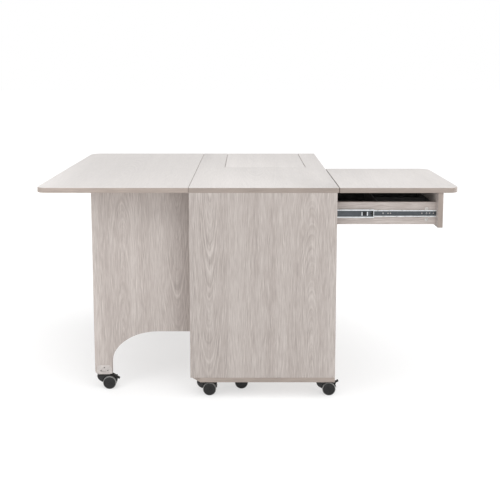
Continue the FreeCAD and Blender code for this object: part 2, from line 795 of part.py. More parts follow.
def make_lift():
    """Platform on two carriages in upright channels, lifted by a gas strut."""
    low = rear_edge + D["opening_rear"] + D["platform_margin"]
    high = rear_edge + D["opening_user"] - D["platform_margin"]
    middle_x = (low + high) * 0.5
    bay_middle = (drawer_end + far_end - D["board"]) * 0.5
    level = D["platform_level"]
    node(box("platform", (low, opening_near + PLATFORM_PLAY, level),
             (high, far_end - D["board"] - RAIL_DEPTH - PLATFORM_PLAY, level + D["board"])),
         "lift_platform")
    rail = lift_rail("lift_rail", middle_x)
    node(group("both_rails", [rail, mirror_y("lift_rail_far", rail, bay_middle)]), "lift_rails")
    carriage = lift_carriage("carriage", middle_x)
    node(group("both_carriages", [carriage, mirror_y("carriage_far", carriage, bay_middle)]),
         "lift_carriages")
    make_strut(low + STRUT_INSET, bay_middle)


# --- castors --------------------------------------------------------------------------------------

HOOD_HALF = 14
HOOD_TOP = 53.5
HOOD_RADIUS = 28.5
HOOD_SKIRT = 30  # the arch's lower edge
# the outline of the hood's nose, from the stem
NOSE = ((-27, 48), (-24, 40), (-18, 33), (-9, 27.5), (12, 15), (20, 19))
WEB_HALF = 5
WEB_RADIUS = 14
CAVITY = 26.5
WHEEL_INNER = 6
WHEEL_OUTER = 20
WHEEL_EDGE = 1.5
HUB_RADIUS = 6
RIM = 5
DISH_SLOPE = 1
AXLE_RADIUS = 3
AXLE_HALF = 19
PIVOT_RADIUS = 30.5
PIVOT_ANGLE = 40
EAR_RADIUS = 3.5
EAR_INNER = 7
EAR_LAP = 0.2  # by which an ear stands into the slot's side
BRAKE_SLOT = 5.4
BRAKE_PIN = 1.5
BRAKE_PIN_HALF = 9.8
BRAKE_HALF = 6.5
BRAKE_HUB = 3
BRAKE_REACH = 13
BRAKE_SHEET = 1.6
BRAKE_TIP = 2.2
BRAKE_UP = -30
BRAKE_DOWN = 30
MOUNT_HALF = 25
MOUNT_SHEET = 2
CUP_RADIUS = 16
CUP_LOW, CUP_HIGH = 7, 1  # below the base board
CUP_BORE_HIGH = 2.5
pivot_x = D["trail"] + PIVOT_RADIUS * math.cos(math.radians(PIVOT_ANGLE))
pivot_z = D["wheel_radius"] + PIVOT_RADIUS * math.sin(math.radians(PIVOT_ANGLE))


def rod_y(name, x, z, radius, half):
    """A cylinder along Y, as far to both sides of the castor's middle."""
    return rod(name, (x, -half, z), radius, half * 2, ALONG_Y)


def castor_hood():
    """Hood of a twin-wheel castor about its stem axis: a nose, an arch over the wheels and a web."""
    axle_x, axle_z = D["trail"], D["wheel_radius"]
    nose = padded("hood_nose", "XZ_Plane",
                  [(NOSE[0][0], HOOD_TOP), *NOSE, (NOSE[-1][0], HOOD_TOP)], HOOD_HALF * 2,
                  midplane=True)
    drum = rod_y("hood_drum", axle_x, axle_z, HOOD_RADIUS, HOOD_HALF)
    wide = HOOD_HALF + BEYOND
    below = box("hood_below", (axle_x - HOOD_RADIUS - BEYOND, -wide, axle_z - HOOD_RADIUS - BEYOND),
                (axle_x + HOOD_RADIUS + BEYOND, wide, HOOD_SKIRT))
    arch = cut("hood_arch", drum, [below])
    web = rod_y("hood_web", axle_x, axle_z, WEB_RADIUS, WEB_HALF)
    ears = [rod(f"hood_ear_{i}", (pivot_x, y, pivot_z), EAR_RADIUS, EAR_RADIUS, ALONG_Y)
            for i, y in enumerate((EAR_INNER, -EAR_INNER - EAR_RADIUS))]
    stem = rod("hood_stem", (0, 0, HOOD_TOP - BEYOND), D["stem_radius"],
               D["stem_top"] - HOOD_TOP + BEYOND)
    solid = fuse("hood_solid", [nose, arch, web, stem] + ears)
    cavities = [rod(f"hood_cavity_{i}", (axle_x, y, axle_z), CAVITY, HOOD_HALF, ALONG_Y)
                for i, y in enumerate((WEB_HALF, -WEB_HALF - HOOD_HALF))]
    slot = rod_y("hood_slot", pivot_x, pivot_z, BRAKE_SLOT, EAR_INNER - EAR_LAP)
    bores = [rod_y("hood_pin_bore", pivot_x, pivot_z, BRAKE_PIN + PIN_PLAY, HOOD_HALF),
             rod_y("hood_axle_bore", axle_x, axle_z, AXLE_RADIUS + PIN_PLAY, HOOD_HALF)]
    return cut("hood", solid, [fuse("hood_spaces", cavities + [slot] + bores)])


def castor_wheels():
    """Two wheels on one axle along Y, about the axle's middle."""
    radius, edge, outer = D["wheel_radius"], WHEEL_EDGE, WHEEL_OUTER
    wheel = doc.addObject("PartDesign::Body", "wheel")
    sketch = start_sketch(wheel, "YZ_Plane")
    outline(sketch, [
        (WHEEL_INNER, AXLE_RADIUS), (outer, AXLE_RADIUS), (outer, HUB_RADIUS),
        (outer - edge, HUB_RADIUS + DISH_SLOPE), (outer - edge, radius - RIM - DISH_SLOPE),
        (outer, radius - RIM), (outer, radius - edge), (outer - edge, radius),
        (WHEEL_INNER + edge, radius), (WHEEL_INNER, radius - edge),
    ])
    turn = wheel.newObject("PartDesign::Revolution", "wheel_turn")
    turn.Profile = sketch
    axis = next(f for f in wheel.Origin.OriginFeatures if f.Role == "Y_Axis")
    turn.ReferenceAxis = (axis, [""])
    turn.Angle = 360
    axle = rod_y("axle", 0, 0, AXLE_RADIUS, AXLE_HALF)
    return group("wheels", [wheel, mirror_y("wheel_two", wheel), axle])


def castor_brake():
    """The brake pedal about its own pivot, level."""
    hub = rod_y("brake_hub", 0, 0, BRAKE_HUB, BRAKE_HALF)
    pin = rod_y("brake_pin", 0, 0, BRAKE_PIN, BRAKE_PIN_HALF)
    blade = box("brake_blade", (0, -BRAKE_HALF, -BRAKE_SHEET), (BRAKE_REACH, BRAKE_HALF, BRAKE_SHEET))
    tip = rod_y("brake_tip", BRAKE_REACH, 0, BRAKE_TIP, BRAKE_HALF)
    return fuse("brake", [hub, pin, blade, tip])


def castor_plate(name, x, y):
    """The square plate and swivel cup of a castor under the base board."""
    under = D["castor_height"]
    plate = box(name + "_plate", (x - MOUNT_HALF, y - MOUNT_HALF, under - MOUNT_SHEET),
                (x + MOUNT_HALF, y + MOUNT_HALF, under))
    cup = rod(name + "_cup", (x, y, under - CUP_LOW), CUP_RADIUS, CUP_LOW - CUP_HIGH)
    bore = rod(name + "_bore", (x, y, under - CUP_LOW - BEYOND), D["stem_radius"] + STEM_PLAY,
               CUP_LOW + BEYOND - CUP_BORE_HIGH)
    return cut(name, fuse(name + "_solid", [plate, cup]), [bore])


CASTOR_FROM_REAR, CASTOR_FROM_USER, CASTOR_FROM_END = 50, 45, 42
INNER_FROM_REAR, INNER_FROM_END = 169, 100


def set_copy(source, label, x, y, z, rotation):
    """A copy of a castor piece at one castor's place."""
    return node(place(group(label, [source]), x, y, z, rotation), label)


def make_castors():
    """Four corner castors, one inner castor and one under each gate leg."""
    hood, wheels, brake = castor_hood(), castor_wheels(), castor_brake()
    rear, user = rear_edge + CASTOR_FROM_REAR, user_edge - CASTOR_FROM_USER
    near, far = near_end + CASTOR_FROM_END, far_end - CASTOR_FROM_END
    spots = {
        "near_rear": (rear, near, 0, BRAKE_UP),
        "near_user": (user, near, 0, BRAKE_UP),
        "far_rear": (rear, far, 0, BRAKE_UP),
        "far_user": (user, far, 0, BRAKE_UP),
        "inner": (rear_edge + INNER_FROM_REAR, near_end + INNER_FROM_END, 0, None),
        "near_gate": (gate_stem_x, gate_stem_y, 0, BRAKE_DOWN),
        "far_gate": (gate_stem_x, -gate_stem_y, 180, BRAKE_DOWN),
    }
    for name, (x, y, turn, tilt) in spots.items():
        heading = Rotation(Vector(0, 0, 1), turn)
        sign = -1 if turn else 1
        set_copy(hood, f"{name}_castor_hood", x, y, 0, heading)
        set_copy(wheels, f"{name}_castor_wheels", x + D["trail"] * sign, y, D["wheel_radius"], heading)
        if tilt is not None:
            set_copy(brake, f"{name}_castor_brake", x + pivot_x * sign, y, pivot_z,
                     heading.multiply(Rotation(Vector(0, 1, 0), tilt)))
    plates = [castor_plate(f"{name}_mount", x, y)
              for name, (x, y, _, _) in spots.items() if not name.endswith("gate")]
    node(group("mounts", plates), "castor_plates")


# --- assembly -------------------------------------------------------------------------------------

def check_document():
    """Every object must have computed, and every piece must be a sound solid."""
    doc.recompute()
    for obj in doc.Objects:
        if "Invalid" in obj.State or "Error" in obj.State:
            raise RuntimeError(f"{obj.Name} did not compute: {obj.State}")
    for piece in nodes:
        if piece.Shape.isNull() or not piece.Shape.isValid() or not piece.Shape.Solids:
            raise RuntimeError(f"{piece.Label} is not a sound solid")


def write_parts():
    """One STEP file for each piece."""
    os.makedirs("parts", exist_ok=True)
    for piece in nodes:
        piece.Shape.exportStep(os.path.join("parts", f"{piece.Label}.step"))
    print(len(nodes), "nodes written")


make_top()
make_cover()
make_carcass()
make_drawer()
make_slides()
make_gates()
make_lift()
make_castors()
check_document()
write_parts()
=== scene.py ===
"""The looks of the sewing table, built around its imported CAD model. Lengths are metres."""

import math

import bmesh
import bpy
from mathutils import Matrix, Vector


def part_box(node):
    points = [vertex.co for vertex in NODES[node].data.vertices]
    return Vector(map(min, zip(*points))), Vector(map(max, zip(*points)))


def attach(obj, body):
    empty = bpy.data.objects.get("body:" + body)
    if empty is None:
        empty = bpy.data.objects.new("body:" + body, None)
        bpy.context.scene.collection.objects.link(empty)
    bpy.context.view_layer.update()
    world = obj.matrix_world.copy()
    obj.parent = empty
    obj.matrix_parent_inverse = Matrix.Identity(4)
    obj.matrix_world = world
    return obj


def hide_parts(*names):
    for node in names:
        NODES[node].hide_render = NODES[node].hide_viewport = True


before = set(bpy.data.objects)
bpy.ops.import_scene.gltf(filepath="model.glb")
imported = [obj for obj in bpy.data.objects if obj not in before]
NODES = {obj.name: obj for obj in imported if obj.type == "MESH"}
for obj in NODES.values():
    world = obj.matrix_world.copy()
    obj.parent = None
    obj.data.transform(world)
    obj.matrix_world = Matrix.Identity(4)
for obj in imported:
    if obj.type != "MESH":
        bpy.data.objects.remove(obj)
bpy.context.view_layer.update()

MM = 0.001
X, Y, Z = 0, 1, 2
NEAR, FAR = (0, -1, 0), (0, 1, 0)  # the directions of the table's two ends
BASE_CASTORS = ("near_rear", "near_user", "far_rear", "far_user", "inner")
GATE_CASTORS = ("near_gate", "far_gate")
SLIDE_MEMBERS = ("slide_cabinet_rails", "slide_middle_rails", "slide_drawer_rails")

# ---------------------------------------------------------------- colours

WHITE = (1.0, 1.0, 1.0)
OAK_TINT = (1.0, 0.957, 0.930)
OAK_SHADE = (1.0, 0.944, 0.914)  # the tint of its darker streaks
# the tops' paler tint: painted light from above on the same oak
TOP_TINT = (1.0, 0.980, 0.968)
BAND_TINT = (1.0, 0.925, 0.875)


def rgb(red, green, blue):
    """A colour seen on a screen, as the linear colour that a shader takes."""
    def linear(value):
        value /= 255
        return value / 12.92 if value <= 0.04045 else ((value + 0.055) / 1.055) ** 2.4
    return (linear(red), linear(green), linear(blue), 1)


def grey(value, tint=WHITE):
    """A near-neutral screen colour."""
    return rgb(*(value * t for t in tint))


# ---------------------------------------------------------------- shaders

class Shader:
    """A node material in the making."""

    def __init__(self, name, roughness, metallic=0.0, specular=0.5):
        self.material = bpy.data.materials.new(name)
        self.material.use_nodes = True
        self.tree = self.material.node_tree
        self.surface = next(n for n in self.tree.nodes if n.type == "BSDF_PRINCIPLED")
        self.surface.inputs["Metallic"].default_value = metallic
        self.surface.inputs["Roughness"].default_value = roughness
        self.surface.inputs["Specular IOR Level"].default_value = specular
        self.place = self.add("ShaderNodeTexCoord").outputs["Object"]

    def add(self, kind, settings=None, **inputs):
        """A node with its settings, and its inputs as values or sockets. An input's key is its name,
        or i and its number."""
        node = self.tree.nodes.new(kind)
        for key, value in (settings or {}).items():
            setattr(node, key, value)
        for key, value in inputs.items():
            numbered = key[0] == "i" and key[1:].isdigit()
            self.feed(node.inputs[int(key[1:]) if numbered else key.replace("_", " ")], value)
        return node

    def feed(self, socket, value):
        if isinstance(value, bpy.types.NodeSocket):
            self.tree.links.new(value, socket)
        else:
            socket.default_value = value

    def math(self, operation, a, b=0.0, c=0.0):
        return self.add("ShaderNodeMath", {"operation": operation}, i0=a, i1=b, i2=c).outputs[0]

    def push(self, value, reach):
        """A value from 0 to 1 as a push either way, from half the reach below zero to half above."""
        return self.math("MULTIPLY_ADD", value, reach, -reach / 2)

    def stretched(self, x, y, z, shift=0.0):
        """The place with each axis scaled, so that a pattern is stretched along the small ones."""
        return self.add("ShaderNodeMapping", Vector=self.place, Scale=(x, y, z),
                        Location=(shift, shift * 0.7, shift * 1.3)).outputs[0]

    def noise(self, vector, scale=1.0, detail=2.0, roughness=0.5):
        return self.add("ShaderNodeTexNoise", Vector=vector, Scale=scale, Detail=detail,
                        Roughness=roughness).outputs["Fac"]

    def ramp(self, factor, stops):
        node = self.add("ShaderNodeValToRGB", Fac=factor)
        elements = node.color_ramp.elements
        while len(elements) < len(stops):
            elements.new(0.5)
        for element, (position, colour) in zip(elements, stops):
            element.position = position
            element.color = colour
        return node.outputs["Color"]

    def span(self, value, low, high, to_low=0.0, to_high=1.0):
        """A value carried smoothly from one range to another, and held at its ends."""
        return self.add("ShaderNodeMapRange", {"interpolation_type": "SMOOTHSTEP"}, Value=value,
                        From_Min=low, From_Max=high, To_Min=to_low, To_Max=to_high).outputs[0]

    def mix(self, factor, a, b):
        node = self.add("ShaderNodeMix", {"data_type": "RGBA"}, Factor=factor)
        self.feed(node.inputs[6], a)
        self.feed(node.inputs[7], b)
        return node.outputs[2]

    def colour(self, value):
        self.feed(self.surface.inputs["Base Color"], value)

    def rough(self, value):
        self.feed(self.surface.inputs["Roughness"], value)

    def bump(self, height, distance):
        node = self.add("ShaderNodeBump", Strength=1.0, Distance=distance, Height=height)
        self.tree.links.new(node.outputs[0], self.surface.inputs["Normal"])


def flat_sawn_figure(shader, u, v, hearts, seed):
    """Growth rings round each heart, a (place across, tip, taper): their arches open away from the
    tip, and point up the grain where the taper is positive."""
    figure = None
    for i, (centre, tip, taper) in enumerate(hearts):
        aside = shader.math("SUBTRACT", u, centre)
        rise = shader.math("MULTIPLY", shader.math("SUBTRACT", v, tip), taper)
        squares = shader.math("ADD", shader.math("MULTIPLY", aside, aside),
                              shader.math("MULTIPLY", rise, rise))
        ring = shader.math("SQRT", squares)
        rings = shader.add("ShaderNodeTexNoise", {"noise_dimensions": "1D"},
                           W=shader.math("ADD", ring, 3.1 * i + seed), Scale=360.0, Detail=2.0,
                           Roughness=0.65).outputs["Fac"]
        near = shader.span(shader.math("ABSOLUTE", aside), 0.045, 0.125, 1.0, 0.0)
        lines = shader.math("MULTIPLY", shader.push(rings, 1.0), near)
        figure = lines if figure is None else shader.math("ADD", figure, lines)
    return figure


def oak(name, across, along, hearts, light=186, contrast=1.0, seed=0.0,
        tints=(OAK_SHADE, OAK_TINT)):
    """Pale oak foil with its grain along one axis; tints are those of the dark and pale streaks."""
    shader = Shader(name, 0.5, specular=0.35)
    axes = shader.add("ShaderNodeSeparateXYZ", Vector=shader.place).outputs

    def grain(wide, long, shift=0.0, **looks):
        """Noise stretched along the grain."""
        scale = [wide, wide, wide]
        scale[along] = long
        return shader.noise(shader.stretched(*scale, shift=seed + shift), **looks)

    sway = shader.push(grain(7.0, 1.3, detail=1.0), 0.034)
    waver = shader.push(grain(55.0, 11.0), 0.012)
    u = shader.math("ADD", axes[across], shader.math("ADD", sway, waver))
    v = axes[along]
    bent = shader.add("ShaderNodeCombineXYZ", X=shader.math("MULTIPLY", u, 380.0),
                      Y=shader.math("MULTIPLY", v, 11.0), Z=seed).outputs[0]
    streaks = shader.noise(bent, roughness=0.62)
    fine = grain(620.0, 26.0, roughness=0.6)
    broad = grain(26.0, 0.8, 5.0, detail=1.0)
    veil = shader.span(grain(24.0, 5.0, 7.0, detail=1.0), 0.3, 0.62, 0.45, 1.0)
    figure = shader.math("MULTIPLY", flat_sawn_figure(shader, u, v, hearts, seed), veil)

    tone = shader.math("MULTIPLY_ADD", figure, 0.72, 0.5)
    for part, share in ((streaks, 0.95), (fine, 0.55), (broad, 0.34)):
        tone = shader.math("ADD", tone, shader.push(part, share))
    spread = 21 * contrast
    dark, pale = tints
    wood = shader.ramp(tone, [
        (0.26, grey(light - spread, dark)),
        (0.44, grey(light - 0.30 * spread, dark)),
        (0.58, grey(light + 0.25 * spread, pale)),
        (0.76, grey(light + 0.85 * spread, pale)),
    ])
    pore = shader.span(grain(1300.0, 30.0, detail=1.0), 0.62, 0.70)
    shader.colour(shader.mix(shader.math("MULTIPLY", pore, 0.22 * contrast), wood,
                             grey(light * 0.74, BAND_TINT)))
    shader.rough(shader.span(fine, 0.2, 0.8, 0.42, 0.58))
    relief = shader.math("MULTIPLY_ADD", pore, -0.8, shader.math("MULTIPLY", fine, 0.5))
    shader.bump(relief, 0.12 * MM)
    return shader.material


def edge_band(name, thin, light=165, seed=0.0):
    """The plastic edging of a board. Its faint streaks run along the edge; thin is the axis across
    the board."""
    shader = Shader(name, 0.42, specular=0.4)
    scale = [14.0, 14.0, 14.0]
    scale[thin] = 620.0
    streak = shader.noise(shader.stretched(*scale, shift=seed), detail=3.0, roughness=0.6)
    cloud = shader.noise(shader.stretched(5, 5, 5, shift=seed + 3))
    tone = shader.math("MULTIPLY_ADD", streak, 0.65, shader.math("MULTIPLY", cloud, 0.35))
    shader.colour(shader.ramp(tone, [
        (0.32, grey(light - 15, BAND_TINT)),
        (0.50, grey(light, BAND_TINT)),
        (0.68, grey(light + 14, BAND_TINT)),
    ]))
    shader.rough(shader.span(streak, 0.2, 0.8, 0.34, 0.5))
    shader.bump(streak, 0.1 * MM)
    return shader.material


def plastic(name, shade, roughness, grain=2600.0, tint=WHITE):
    """Moulded plastic with a spark-eroded grain."""
    shader = Shader(name, roughness)
    speckle = shader.noise(shader.place, grain)
    cloud = shader.noise(shader.place, 45.0)
    shader.colour(shader.ramp(cloud, [
        (0.3, grey(shade * 0.88, tint)),
        (0.7, grey(shade * 1.12, tint)),
    ]))
    shader.rough(shader.span(cloud, 0.25, 0.75, roughness - 0.07, roughness + 0.09))
    shader.bump(speckle, 0.04 * MM)
    return shader.material


def metal(name, shade, roughness, scratch, tint=WHITE, metallic=1.0):
    """Plated sheet or rod, faintly clouded. scratch is how fine its scratches are along each axis."""
    shader = Shader(name, roughness, metallic)
    lines = shader.noise(shader.stretched(*scratch), detail=3.0, roughness=0.65)
    cloud = shader.noise(shader.place, 60.0, detail=3.0)
    tone = shader.math("MULTIPLY_ADD", lines, 0.5, shader.math("MULTIPLY", cloud, 0.5))
    shader.colour(shader.ramp(tone, [
        (0.3, grey(shade * 0.86, tint)),
        (0.7, grey(shade * 1.1, tint)),
    ]))
    shader.rough(shader.span(tone, 0.3, 0.7, roughness - 0.07, roughness + 0.12))
    shader.bump(lines, 0.03 * MM)
    return shader.material


# ---------------------------------------------------------------- materials

EVEN, COARSE = (700.0, 700.0, 700.0), (500.0, 500.0, 500.0)
ALONG_X = (12.0, 900.0, 900.0)  # scratches that run along X

black_plastic = plastic("black_plastic", 17, 0.45)
soft_black = plastic("soft_black", 28, 0.62)
wheel_black = plastic("wheel_black", 25, 0.6)
tread_grey = plastic("tread_grey", 140, 0.5, tint=(1.0, 1.0, 0.99))
# The drawer's tray: a dark sheet that stands for the shade inside the covered drawer, painted shade.
tray_black = plastic("tray_black", 80, 0.5, grain=1400.0)
cap_grey = plastic("cap_grey", 205, 0.45, tint=(1.0, 0.985, 0.965))
# Zinc, drawn this bright partly as a painted highlight on the slides' lips.
zinc = metal("zinc", 232, 0.3, ALONG_X, (0.985, 1.0, 1.01), metallic=0.55)
# The slides' webs: the same zinc painted dark, a painted reflection of the dark room.
zinc_painted_shade = metal("zinc_painted_shade", 96, 0.34, ALONG_X, (0.96, 1.0, 1.04))
plated = metal("plated", 176, 0.26, (700.0, 700.0, 60.0))
brass = metal("brass", 196, 0.28, (40.0, 900.0, 900.0), (1.0, 0.86, 0.55))
chrome = metal("chrome", 214, 0.12, (900.0, 900.0, 12.0))
bracket_grey = metal("bracket_grey", 200, 0.45, EVEN, (1.0, 0.965, 0.945), metallic=0.1)
dark_steel = metal("dark_steel", 70, 0.45, EVEN)
black_enamel = metal("black_enamel", 30, 0.38, COARSE, metallic=0.0)

BANDS = [edge_band(f"edge_band_{'xyz'[axis]}", axis) for axis in (X, Y, Z)]
# The rear leaf's edging: the same band made paler, painted light on that side.
rear_band_painted_light = edge_band("edge_band_painted_light", Z, light=174, seed=2.0)

panel_low, panel_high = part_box("near_end_panel")


def along_panel(share):
    """The place at a share of the end panel's width."""
    return panel_low.x + share * (panel_high.x - panel_low.x)


end_oak = oak("oak_end_panel", X, Z,
              [(along_panel(0.13), 1.05, -0.075), (along_panel(0.83), -0.08, 0.085)])
far_oak = oak("oak_far_panel", X, Z,
              [(along_panel(0.30), -0.1, 0.08), (along_panel(0.80), 1.0, -0.07)], seed=4.0)
partition_oak = oak("oak_partition", X, Z, [(along_panel(0.55), 1.0, -0.08)], seed=9.0)
back_oak = oak("oak_back", Y, Z, [(-0.33, -0.05, 0.08), (-0.02, 1.0, -0.07), (0.30, -0.1, 0.08)],
               seed=13.0)
gate_oak = oak("oak_gate", X, Z, [(-0.47, -0.05, 0.08), (-0.26, 1.0, -0.09)], light=193, seed=17.0)
drawer_oak = oak("oak_drawer", Z, X, [(0.60, 0.1, 0.05)], light=198, seed=21.0)
front_oak = oak("oak_drawer_front", Z, Y, [(0.70, -0.7, 0.05)], seed=24.0)
base_oak = oak("oak_base", X, Y, [(0.06, -0.8, 0.07)], seed=27.0)
shelf_oak = oak("oak_platform", X, Y, [(0.10, -0.3, 0.08)], seed=31.0)
# The tops: the same oak made lighter and fainter in grain, painted light from above.
top_oak_painted_light = oak("oak_top_painted_light", X, Y, [(-0.50, -0.8, 0.07), (0.04, 0.8, -0.07), (0.52, -0.8, 0.07)],
              light=213, contrast=0.30, seed=35.0, tints=(TOP_TINT, TOP_TINT))

BOARDS = {  # the axis across each board, and its foil
    "near_end_panel": (Y, end_oak), "far_end_panel": (Y, far_oak), "partition": (Y, partition_oak),
    "back_panel": (X, back_oak), "base_board": (Z, base_oak), "cover_cleats": (Z, base_oak),
    "drawer_near_side": (Y, drawer_oak), "drawer_far_side": (Y, drawer_oak),
    "drawer_back": (X, front_oak), "drawer_front": (X, front_oak), "drawer_bottom": (Z, base_oak),
    "lift_platform": (Z, shelf_oak), "near_gate_panel": (Y, gate_oak),
    "far_gate_panel": (Y, gate_oak), "main_top": (Z, top_oak_painted_light), "user_leaf": (Z, top_oak_painted_light),
    "machine_cover": (Z, top_oak_painted_light), "rear_leaf": (Z, top_oak_painted_light)}
ROUNDER_BOARDS = ("near_gate_panel", "far_gate_panel", "main_top", "user_leaf", "machine_cover",
                  "rear_leaf")

FITTINGS = {
    "carcass_cams": cap_grey, "castor_plates": black_enamel, "gate_hinge_plates": plated,
    "near_gate_hinges": plated, "far_gate_hinges": plated, "leaf_hinge_sockets": brass,
    "rear_leaf_barrels": brass, "user_leaf_barrels": brass, "lift_rails": black_enamel,
    "lift_carriages": black_enamel, "strut_cylinder": black_enamel, "strut_rod": chrome,
    # the drawer's tray in painted shade
    "drawer_tray": tray_black, "near_gate_bracket": bracket_grey,
    "far_gate_bracket": bracket_grey}
EASED_FITTINGS = {
    "near_gate_bracket": 0.6 * MM, "far_gate_bracket": 0.6 * MM, "drawer_tray": 0.8 * MM,
    "lift_carriages": 0.5 * MM, "lift_rails": 0.5 * MM}


# ---------------------------------------------------------------- CAD nodes

def dress(node, *materials):
    """Give a CAD node its materials."""
    slots = NODES[node].data.materials
    slots.clear()
    for material in materials:
        slots.append(material)


def ease(node, width):
    """Ease a piece's sharp edges, without touching its own vertices."""
    piece = NODES[node]
    weld = piece.modifiers.new("weld", "WELD")
    weld.merge_threshold = 0.01 * MM
    bevel = piece.modifiers.new("arris", "BEVEL")
    bevel.width = width
    bevel.segments = 2
    bevel.limit_method = "ANGLE"
    bevel.angle_limit = math.radians(30)
    bevel.use_clamp_overlap = True
    bevel.harden_normals = True
    for polygon in piece.data.polygons:
        polygon.use_smooth = True


def make_boards():
    """Foil on both faces of each board, and edging on the faces that look another way."""
    for node, (thin, foil) in BOARDS.items():
        # the rear leaf wears the paler band, painted light
        dress(node, foil, rear_band_painted_light if node == "rear_leaf" else BANDS[thin])
        for polygon in NODES[node].data.polygons:
            polygon.material_index = 0 if abs(polygon.normal[thin]) > 0.7 else 1
        ease(node, (1.2 if node in ROUNDER_BOARDS else 0.8) * MM)


def make_slides():
    """A web in a darker copy of the zinc, a painted dark reflection, which lies deeper than the
    rolled lips, and lips drawn bright, partly a painted highlight.
    """
    lip_depth = 0.6 * MM
    for node in SLIDE_MEMBERS:
        dress(node, zinc, zinc_painted_shade)
        low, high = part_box(node)
        for polygon in NODES[node].data.polygons:
            depth = min(polygon.center.y - low.y, high.y - polygon.center.y)
            sideways = abs(polygon.normal.y) > 0.9
            polygon.material_index = 1 if sideways and depth > lip_depth else 0


def make_fittings():
    for node, material in FITTINGS.items():
        dress(node, material)
    for node, width in EASED_FITTINGS.items():
        ease(node, width)
    make_slides()


# ---------------------------------------------------------------- new pieces

def keep(name, mesh, body, nodes=()):
    """A new piece that rides on a body, wears its mesh's materials and may stand for CAD nodes, which
    it hides.
    """
    piece = bpy.data.objects.new(name, mesh)
    bpy.context.scene.collection.objects.link(piece)
    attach(piece, body)
    if nodes:
        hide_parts(*nodes)


def finished(name, mesh, *materials):
    """The built mesh as Blender data, its faces looking outwards and its sharp edges marked."""
    bmesh.ops.recalc_face_normals(mesh, faces=mesh.faces[:])
    data = bpy.data.meshes.new(name)
    mesh.to_mesh(data)
    mesh.free()
    data.set_sharp_from_angle(angle=math.radians(32))
    for material in materials:
        data.materials.append(material)
    return data


def bridge(mesh, ring, after, material=0):
    """Smooth faces between two rings that have the same number of points."""
    for i in range(len(ring)):
        k = (i + 1) % len(ring)
        face = mesh.faces.new((ring[i], ring[k], after[k], after[i]))
        face.material_index = material
        face.smooth = True


# ---------------------------------------------------------------- castors

CORE, TREAD, AXLE = 0, 1, 2  # the materials of a pair of wheels
ON_AXIS = 1e-7  # the radius, in millimetres, of a ring that closes the axle's end


def turned(mesh, profile, centre, steps=72):
    """Turn a closed profile of (radius, place along Y, material), in millimetres, about an axis
    along Y."""
    rings = []
    for radius, y, _ in profile:
        points = [Vector((radius * math.cos(math.tau * i / steps), y,
                          radius * math.sin(math.tau * i / steps))) for i in range(steps)]
        rings.append([mesh.verts.new(centre + point * MM) for point in points])
    for ring, after, (_, _, material) in zip(rings, rings[1:] + rings[:1], profile):
        bridge(mesh, ring, after, material)


def wheel_profile(side, radius):
    """Section of one wheel, in millimetres, as (radius, place along the axle, material): from the
    bore over the dished face and the tread, and back along its inner face. side is -1 for the
    wheel at lower Y."""
    core = [(3.6, 6.2), (3.6, 18.9), (6.4, 18.8), (6.9, 18.3), (8.0, 18.0), (12.0, 17.9),
            (radius - 7.4, 18.2), (radius - 6.4, 18.9), (radius - 5.4, 19.5), (radius - 3.6, 19.7),
            (radius - 2.9, 19.4), (radius - 2.7, 18.6)]
    tread = [(radius - 2.5, 18.6), (radius - 2.3, 19.0), (radius - 1.3, 18.8), (radius - 0.6, 18.1),
             (radius - 0.15, 17.0), (radius - 0.02, 15.6), (radius, 13.0), (radius - 0.02, 9.6),
             (radius - 0.2, 8.0), (radius - 0.9, 6.9), (radius - 2.0, 6.4)]
    inside = [(radius - 3.7, 6.2), (radius - 4.4, 7.4), (9.0, 7.4), (8.4, 6.2)]
    return [(r, side * y, material)
            for points, material in ((core, CORE), (tread, TREAD), (inside, CORE))
            for r, y in points]


def axle_profile():
    """Section of the axle, in millimetres, with chamfered ends."""
    half = [(3.0, 17.8), (2.9, 18.2), (2.4, 18.6), (ON_AXIS, 18.6)]
    return [(r, -y, AXLE) for r, y in reversed(half)] + [(r, y, AXLE) for r, y in half]


def wheel_pair(castor):
    low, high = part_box(f"{castor}_castor_wheels")
    centre = (low + high) / 2
    radius = (high.z - low.z) / 2 / MM
    mesh = bmesh.new()
    for side in (-1, 1):
        turned(mesh, wheel_profile(side, radius), centre)
    turned(mesh, axle_profile(), centre, steps=28)
    data = finished(f"{castor}_wheels", mesh, wheel_black, tread_grey, soft_black)
    keep(f"{castor}_wheels", data, f"{castor}_roll", [f"{castor}_castor_wheels"])


def make_castors():
    for castor in BASE_CASTORS + GATE_CASTORS:
        dress(f"{castor}_castor_hood", black_plastic)
        ease(f"{castor}_castor_hood", 0.7 * MM)
        wheel_pair(castor)
        if f"{castor}_castor_brake" in NODES:
            dress(f"{castor}_castor_brake", soft_black)
            ease(f"{castor}_castor_brake", 0.5 * MM)


# ---------------------------------------------------------------- screws and cam locks

HEAD_STEPS = 24
CROWN = ((1.0, 0.0), (1.0, 0.3), (0.93, 0.68), (0.76, 0.94))  # shares of the radius and the height
CROSS = (0.56, 0.58, 0.26, 0.22, 0.26, 0.58)  # a cross recess, as shares of the radius
DEEP, SHALLOW, CAM_SLOT = 0.55, 0.3, 0.28  # how deep the recess is, as a share of the radius


